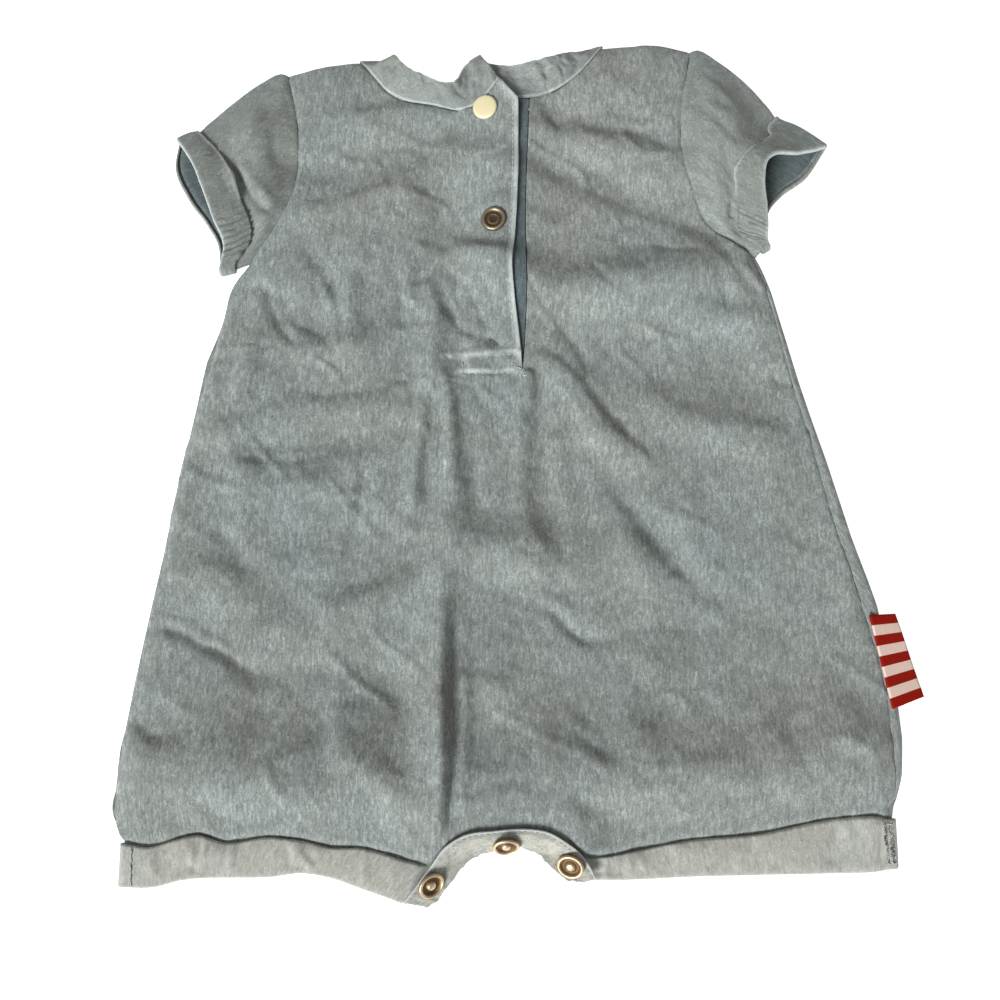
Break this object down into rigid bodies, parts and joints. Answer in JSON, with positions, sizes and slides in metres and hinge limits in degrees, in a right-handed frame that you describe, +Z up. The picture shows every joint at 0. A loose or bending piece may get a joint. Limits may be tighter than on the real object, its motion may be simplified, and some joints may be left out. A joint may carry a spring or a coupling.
{
  "type": "baby romper",
  "caption": "Short-sleeved baby romper in light denim, laid flat, with a half placket, band collar, turned-up leg and sleeve cuffs and a snap crotch.",
  "frame": {"origin": "middle of the garment's outline, on the surface that it lies on", "axes": "+Z up from the surface, +Y along the garment towards the collar, +X across it to the viewer's right"},
  "size_m": [0.3603, 0.4053, 0.0176],
  "materials": {
    "denim": "light-wash chambray denim, woven, matte",
    "denim_wrong_side": "wrong side of the same denim, paler, matte",
    "ribbon": "striped woven ribbon, satin",
    "snap_metal": "antique pale brass, satin"
  },
  "bodies": {
    "root": {"front": "denim", "back": "denim", "sleeve_left": "denim", "sleeve_right": "denim", "sleeve_cuff_left": "denim", "sleeve_cuff_right": "denim", "collar": "denim", "placket_underlap": "denim", "leg_cuff_left": "denim_wrong_side", "leg_cuff_right": "denim_wrong_side", "crotch_tape_front": "denim_wrong_side", "crotch_tape_back": "denim_wrong_side", "side_tab": "ribbon", "snap_placket_1": "snap_metal", "snap_placket_2": "snap_metal", "snap_crotch_1": "snap_metal", "snap_crotch_2": "snap_metal", "snap_crotch_3": "snap_metal"}
  },
  "joints": []
}
